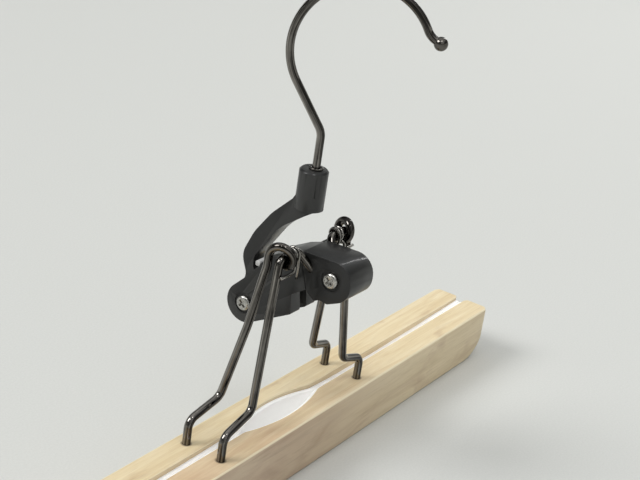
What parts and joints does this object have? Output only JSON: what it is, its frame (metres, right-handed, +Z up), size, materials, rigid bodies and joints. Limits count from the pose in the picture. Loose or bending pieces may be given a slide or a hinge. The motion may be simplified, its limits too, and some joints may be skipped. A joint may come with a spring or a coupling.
{
  "type": "trouser hanger",
  "caption": "Clamp hanger for trousers: felt-lined wooden jaws on bent wire legs, opened by a tilting neck below a swivelling hook.",
  "frame": {"origin": "middle of the clamp mouth, on the plane that the bars stand on", "axes": "+X along the bars, -Y to the front block, +Z up towards the hook"},
  "size_m": [0.37, 0.0729, 0.2358],
  "materials": {
    "wood": "pale birch, clear satin lacquer, fine streaky grain along the bars",
    "felt": "dense white felt",
    "wire": "dark nickel plate, bright highlights",
    "spring_steel": "plain bright spring wire",
    "moulding": "satin black nylon moulding",
    "bright_steel": "bright zinc plate",
    "nylon": "natural white nylon"
  },
  "bodies": {
    "root": {"back_bar": "wood", "back_felt": "felt", "left_back_wire": "wire", "right_back_wire": "wire", "left_spring": "spring_steel", "right_spring": "spring_steel", "back_block": "moulding", "back_screw": "bright_steel", "stop_pad": "nylon"},
    "front_jaw": {"front_bar": "wood", "front_felt": "felt", "left_front_wire": "wire", "right_front_wire": "wire", "front_block": "moulding", "front_screw": "bright_steel"},
    "lever": {"neck_lever": "moulding", "link_pin": "bright_steel", "hook_collar": "bright_steel"},
    "link": {"link": "bright_steel"},
    "hook": {"hook": "wire"}
  },
  "joints": [
    {"name": "jaw_swing", "type": "hinge", "parent": "root", "child": "front_jaw", "pos_m": [0, -0.0074, 0.1155], "axis": [-1, 0, 0], "range_deg": [0, 5.25], "stiffness_Nm_per_rad": 2, "springref_deg": -17.19, "deforming": ["left_spring", "right_spring"]},
    {"name": "lever_tilt", "type": "hinge", "parent": "root", "child": "lever", "pos_m": [0, 0.0196, 0.079], "axis": [1, 0, 0], "range_deg": [0, 9]},
    {"name": "link_swing", "type": "hinge", "parent": "lever", "child": "link", "pos_m": [0, 0.0196, 0.0885], "axis": [-1, 0, 0], "range_deg": [0, 11.2]},
    {"name": "hook_swivel", "type": "hinge", "parent": "lever", "child": "hook", "pos_m": [0, -0.0024, 0.149], "axis": [0, 0, 1], "continuous": true}
  ],
  "couplings": [
    {"joint": "lever_tilt", "follows": "jaw_swing", "ratio": 1.712},
    {"joint": "link_swing", "follows": "jaw_swing", "ratio": 2.123}
  ]
}
